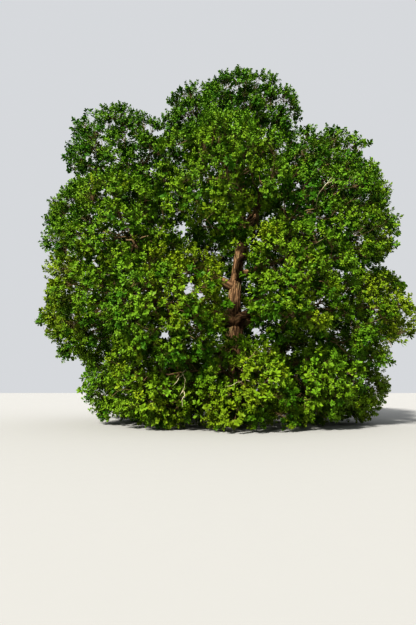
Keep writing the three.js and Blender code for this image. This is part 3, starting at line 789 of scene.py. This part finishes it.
def limb_piece(limb, trunk, material):
    """A limb with the relief of its bark, in place of its solid."""
    is_trunk = limb is trunk
    sides, rings = (TRUNK_SIDES, TRUNK_RINGS) if is_trunk else (BOUGH_SIDES, BOUGH_RINGS)
    t = np.linspace(0, 1, rings)
    centre = limb.line(t)
    tangent = unit(np.gradient(centre, axis=0))
    normal = across(limb.side, tangent)
    binormal = np.cross(tangent, normal)
    angle, _ = np.meshgrid(2 * np.pi * np.arange(sides) / sides, t)
    steps = np.linalg.norm(np.diff(centre, axis=0), axis=1)
    length = np.concatenate([[0], np.cumsum(steps)])[:, None] + np.zeros_like(angle)
    radius = limb.radius_at(t)[:, None] + np.zeros_like(angle)
    if is_trunk:
        fade = np.clip(1 - centre[:, 2:] / FLARE_HEIGHT, 0, 1)
        radius = radius * (1 + BUTTRESS_DEPTH * fade * np.cos(BUTTRESSES * angle + BUTTRESS_TURN))
    else:
        axis = trunk.line(np.clip(centre[:, 2] / trunk.end.tip[2], 0, 1))
        out = np.linalg.norm((centre - axis)[:, :2], axis=1) - trunk_radius(centre[:, 2])
        collar = np.exp(-((np.maximum(out, 0) / COLLAR_LENGTH) ** 2))
        radius = radius * (1 + COLLAR_SWELL * collar)[:, None]
    cut = fissures(angle, radius, length, limb.seed)
    lumps = burrs(angle, radius, length, limb.seed)
    radius = radius * (1 + BURR_HEIGHT * lumps * np.abs(lumps) - FISSURE_DEPTH * cut)
    spokes = normal[:, None] * np.cos(angle)[..., None] + binormal[:, None] * np.sin(angle)[..., None]
    corners = centre[:, None] + spokes * radius[..., None]
    if is_trunk:
        corners[0, :, 2] = 0
    tip = centre[-1] + tangent[-1] * TIP_RADIUS
    faces = tube_faces(1, rings, sides)
    foot = len(corners.reshape(-1, 3)) + 1
    side = np.arange(sides)
    cap = np.stack([(side + 1) % sides, side, np.full(sides, foot)], axis=-1)
    all_corners = np.concatenate([corners.reshape(-1, 3), [tip], [corners[0].mean(axis=0)]])
    piece = new_piece(f"{limb.name}_bark", all_corners, np.concatenate([faces, cap]), [material])
    depth = piece.data.attributes.new("fissure", "FLOAT", "POINT")
    depth.data.foreach_set("value", np.concatenate([cut.ravel(), [0, 0]]).astype(np.float32))
    carried(piece, [limb])


# Materials
def new_material(name):
    material = bpy.data.materials.new(name)
    material.use_nodes = True
    nodes, links = material.node_tree.nodes, material.node_tree.links
    nodes.clear()
    output = nodes.new("ShaderNodeOutputMaterial")
    shader = nodes.new("ShaderNodeBsdfPrincipled")
    links.new(shader.outputs["BSDF"], output.inputs["Surface"])
    return material, nodes, links, shader


def noise_node(nodes, links, scale, detail=2):
    coordinates = nodes.new("ShaderNodeTexCoord")
    texture = nodes.new("ShaderNodeTexNoise")
    texture.inputs["Scale"].default_value = scale
    texture.inputs["Detail"].default_value = detail
    links.new(coordinates.outputs["Object"], texture.inputs["Vector"])
    return texture


def ramp_node(nodes, links, source, stops):
    ramp = nodes.new("ShaderNodeValToRGB")
    while len(ramp.color_ramp.elements) < len(stops):
        ramp.color_ramp.elements.new(0.5)
    for element, (position, colour) in zip(ramp.color_ramp.elements, stops):
        element.position = position
        element.color = (*colour, 1)
    links.new(source, ramp.inputs["Fac"])
    return ramp


def range_node(nodes, links, source, low, high):
    scaled = nodes.new("ShaderNodeMapRange")
    scaled.inputs["To Min"].default_value = low
    scaled.inputs["To Max"].default_value = high
    links.new(source, scaled.inputs["Value"])
    return scaled


def bump_node(nodes, links, source, strength, shader):
    bump = nodes.new("ShaderNodeBump")
    bump.inputs["Strength"].default_value = strength
    bump.inputs["Distance"].default_value = BUMP_DISTANCE
    links.new(source, bump.inputs["Height"])
    links.new(bump.outputs["Normal"], shader.inputs["Normal"])


def bark_material(age):
    """Bark: plates that vary between two browns with patches of a third, and painted shade that darkens the
    fissures.
    """
    bark = SimpleNamespace(**BARKS[age])
    material, nodes, links, shader = new_material(f"{age}_bark")
    patches = noise_node(nodes, links, bark.patches, PATCH_DETAIL)
    grain = noise_node(nodes, links, bark.grain, GRAIN_DETAIL)
    colours = zip(PATCH_STOPS, (bark.shaded, bark.plate, bark.lichen))
    colour = ramp_node(nodes, links, patches.outputs["Fac"], list(colours))
    tones = [(stop, (tone, tone, tone)) for stop, tone in zip(GRAIN_STOPS, GRAIN_TONES)]
    tone = ramp_node(nodes, links, grain.outputs["Fac"], tones)
    toned = nodes.new("ShaderNodeMix")
    toned.data_type, toned.blend_type = "RGBA", "MULTIPLY"
    toned.inputs["Factor"].default_value = 1
    links.new(colour.outputs["Color"], toned.inputs["A"])
    links.new(tone.outputs["Color"], toned.inputs["B"])
    surface = toned.outputs["Result"]
    if bark.relief:
        depth = nodes.new("ShaderNodeAttribute")
        depth.attribute_name = "fissure"
        # painted shade: the colour goes towards a dark brown with the depth of the fissure
        cut = nodes.new("ShaderNodeMix")
        cut.data_type, cut.blend_type = "RGBA", "MIX"
        cut.inputs["B"].default_value = (*[FISSURE_PAINTED_SHADE * c for c in bark.shaded], 1)
        links.new(depth.outputs["Fac"], cut.inputs["Factor"])
        links.new(surface, cut.inputs["A"])
        surface = cut.outputs["Result"]
    links.new(surface, shader.inputs["Base Color"])
    rough = range_node(nodes, links, grain.outputs["Fac"], *BARK_ROUGHNESS)
    links.new(rough.outputs["Result"], shader.inputs["Roughness"])
    shader.inputs["Specular IOR Level"].default_value = BARK_SPECULAR
    bump_node(nodes, links, grain.outputs["Fac"], BARK_BUMP, shader)
    return material


def leaf_materials():
    """Plain greens that are dealt out by spray, from dark to light for each warmth. The steps carry painted
    light and shade as well as random differences.
    """
    materials = []
    for warmth, factors in WARMTHS:
        for step, share in enumerate(GREEN_SHARES):
            colour = lerp(GREEN_DARK, GREEN_LIGHT, share) * factors
            material, nodes, links, shader = new_material(f"leaf_{warmth}_{step + 1}")
            shader.inputs["Base Color"].default_value = (*colour, 1)
            shader.inputs["Specular IOR Level"].default_value = LEAF_SPECULAR
            blotches = noise_node(nodes, links, LEAF_BLOTCHES)
            rough = range_node(nodes, links, blotches.outputs["Fac"], *LEAF_ROUGHNESS)
            links.new(rough.outputs["Result"], shader.inputs["Roughness"])
            veins = noise_node(nodes, links, LEAF_VEINS)
            bump_node(nodes, links, veins.outputs["Fac"], LEAF_BUMP, shader)
            materials.append(material)
    return materials


def gained(value, ends, places):
    """A value of each spray, changed in some places."""
    for middle, radius, gain in places:
        value = value + gain * (np.linalg.norm(ends - middle, axis=1) < radius)
    return value


def greens_of(sprays, rng):
    """The number of the material of each spray. Its green is painted lighter where a spray faces up and in
    lit places, and painted darker for coarse sprays and in shaded places, as painted light and shade; it also
    gets darker higher up and varies at random by clump and spray. Warmth varies in swells, with height and in
    places.
    """
    ends = np.array([s.end for s in sprays])
    lift = np.array([s.axis[2] for s in sprays])
    shade = np.array([s.shade for s in sprays])
    coarse = np.array([s.kind is COARSE for s in sprays])
    # painted light: sprays that face up get lighter greens
    light = BASE_LIGHT + PAINTED_LIGHT_BY_LIFT * lift + shade + rng.normal(0, SPRAY_SHADING, len(sprays))
    # painted shade: coarse sprays, inside the clumps and the crown, get darker greens, more so higher up
    light = light - coarse * np.interp(ends[:, 2], *COARSE_PAINTED_SHADE)
    light = light + LIGHT_BY_HEIGHT * (ends[:, 2] - LIGHT_LEVEL)
    # painted light and painted shade in the places listed above
    light = gained(light, ends, PAINTED_LIGHT_AND_SHADE_PLACES)
    step = np.clip(np.round(light * GREEN_STEPS - 0.5), 0, GREEN_STEPS - 1).astype(int)
    warm = BASE_WARMTH + rng.normal(0, WARMTH_JITTER, len(sprays))
    for swell in (BROAD_WARMTH, LOCAL_WARMTH):
        warm = warm + swell.share * noise(ends / swell.size, swell.seed)
    warm = warm + WARMTH_BY_HEIGHT * (ends[:, 2] - WARMTH_LEVEL)
    warmth = np.digitize(gained(warm, ends, OLIVE_PLACES), WARMTH_LIMITS)
    return warmth * GREEN_STEPS + step


# Pieces of foliage
def grow_mass(mass, crown):
    """The branches, twigs and leaves of one mass. Leaves are corners, triangles and a green for each."""
    rng = np.random.default_rng(FOLIAGE_SEED + crown.masses.index(mass))
    clumps = find_clumps(mass, crown, rng)
    chains = grow_branches(mass, clumps, rng)
    sprays = grow_sprays(mass, clumps, crown, rng)
    leaves, greens = [], []
    for kind in (FINE, COARSE):
        chosen = [s for s in sprays if s.kind is kind]
        corners, owner = grow_leaves(chosen, kind, rng)
        leaves.append((corners.reshape(-1, 3), leaf_faces(kind, len(corners))))
        greens.append(np.repeat(greens_of(chosen, rng)[owner], len(kind.faces)))
    return SimpleNamespace(chains=chains, sprays=sprays, leaves=leaves, greens=greens)


def foliage_pieces(ring, grown, masses, greens, wood):
    """Twigs and leaves of a ring of masses, each kind joined into pieces."""
    paths = np.array([path for g in grown for path, _ in g.chains])
    radii = np.array([radius for g in grown for _, radius in g.chains])
    beyond = paths[:, -1:] + unit(paths[:, -1:] - paths[:, -2:-1]) * radii[:, -1:, None]
    twigs = np.array([(s.start, s.end) for g in grown for s in g.sprays])
    corners, faces = joined([
        tubes(np.concatenate([paths, beyond], axis=1), radii, BRANCH_SIDES),
        tubes(twigs, np.full((len(twigs), 1), TWIG_RADIUS), TWIG_SIDES),
    ])
    carried(new_piece(f"{ring.name}_twigs", corners, faces, [wood]), masses)
    half = len(masses) // 2
    for number, part in enumerate((slice(0, half), slice(half, None)), 1):
        corners, faces = joined([leaves for g in grown[part] for leaves in g.leaves])
        green = np.concatenate([green for g in grown[part] for green in g.greens])
        piece = new_piece(f"{ring.name}_leaves_{number}", corners, faces, greens, green)
        carried(piece, masses[part])


def dead_piece(grown, masses, material):
    """The bare branches, each grown from the nearest wood."""
    rng = np.random.default_rng(FOLIAGE_SEED)
    wood = np.concatenate([path for g in grown for path, _ in g.chains])
    owner = np.concatenate([np.full(len(path), i) for i, g in enumerate(grown) for path, _ in g.chains])
    paths, carriers = [], set()
    for knots in DEAD_BRANCHES:
        nearest = np.argmin(np.linalg.norm((wood - knots[0]) * DEAD_WEIGHTS, axis=1))
        knots = np.array([wood[nearest], *knots])
        way = np.concatenate([[0], np.cumsum(np.linalg.norm(np.diff(knots, axis=0), axis=1))])
        steps = np.linspace(0, way[-1], DEAD_POINTS)
        path = np.stack([np.interp(steps, way, knots[:, i]) for i in range(3)], axis=-1)
        path[1:] += rng.normal(0, DEAD_SWAY, (DEAD_POINTS - 1, 3))
        paths.append(path)
        carriers.add(int(owner[nearest]))
        wood = np.concatenate([wood, path])
        owner = np.concatenate([owner, np.full(DEAD_POINTS, owner[nearest])])
    radii = DEAD_RADIUS * np.tile(np.linspace(1, DEAD_TAPER, DEAD_POINTS - 1), (len(paths), 1))
    corners, faces = tubes(np.array(paths), radii, BRANCH_SIDES)
    piece = new_piece("dead_twigs", corners, faces, [material])
    carried(piece, [masses[i] for i in sorted(carriers)])


# Setting
def make_stage():
    corners = np.array([(-1, -1, 0), (1, -1, 0), (1, 1, 0), (-1, 1, 0)]) * FLOOR_SIZE / 2
    corners[:, 2] = -FLOOR_DROP
    material, nodes, links, shader = new_material("floor")
    shader.inputs["Base Color"].default_value = (*FLOOR_COLOUR, 1)
    mottle = noise_node(nodes, links, FLOOR_MOTTLE)
    rough = range_node(nodes, links, mottle.outputs["Fac"], *FLOOR_ROUGHNESS)
    links.new(rough.outputs["Result"], shader.inputs["Roughness"])
    floor = new_piece("floor", corners, np.array([(0, 1, 2), (0, 2, 3)]), [material])


def make_light():
    sun = bpy.data.lights.new("sun", "SUN")
    sun.energy = SUN_STRENGTH
    sun.angle = math.radians(SUN_WIDTH)
    sun.color = SUN_COLOUR
    lamp = bpy.data.objects.new("sun", sun)
    lamp.rotation_mode = "QUATERNION"
    lamp.rotation_quaternion = Vector(SUN_FROM).to_track_quat("Z", "Y")
    bpy.context.scene.collection.objects.link(lamp)
    world = bpy.data.worlds.new("studio")
    world.use_nodes = True
    background = world.node_tree.nodes["Background"]
    background.inputs["Color"].default_value = (*SKY_COLOUR, 1)
    background.inputs["Strength"].default_value = SKY_STRENGTH
    bpy.context.scene.world = world


def make_camera():
    data = bpy.data.cameras.new("camera")
    data.sensor_width = SENSOR
    data.lens = SENSOR * FOCAL_PIXELS / PHOTO_HEIGHT
    data.clip_end = 2 * FLOOR_SIZE
    camera = bpy.data.objects.new("camera", data)
    camera.location = VIEWPOINT
    camera.rotation_euler = (math.radians(90 + CAMERA_PITCH), 0, 0)
    bpy.context.scene.collection.objects.link(camera)
    bpy.context.scene.camera = camera
    bpy.context.scene.view_settings.view_transform = "Standard"
    bpy.context.scene.view_settings.look = "High Contrast"


def main():
    masses = make_masses()
    limbs = make_limbs(masses)
    t = np.linspace(0, 1, LIMB_SAMPLES + 1)
    dead_points = np.concatenate(DEAD_BRANCHES)
    crown = SimpleNamespace(
        masses=masses,
        lanes=lane_lines(),
        limb_points=np.concatenate([limb.line(t) for limb in limbs] + [dead_points]),
        limb_radii=np.concatenate(
            [limb.radius_at(t) for limb in limbs] + [np.full(len(dead_points), DEAD_CLEARANCE)]
        ),
    )
    old_bark, young_bark, dead_bark = [bark_material(age) for age in BARKS]
    for limb in limbs:
        limb_piece(limb, limbs[0], old_bark)
    greens = leaf_materials()
    grown = [grow_mass(mass, crown) for mass in masses]
    for ring in RINGS:
        own = [i for i, mass in enumerate(masses) if mass.ring is ring]
        foliage_pieces(ring, [grown[i] for i in own], [masses[i] for i in own], greens, young_bark)
    dead_piece(grown, masses, dead_bark)
    make_stage()
    make_light()
    make_camera()


main()
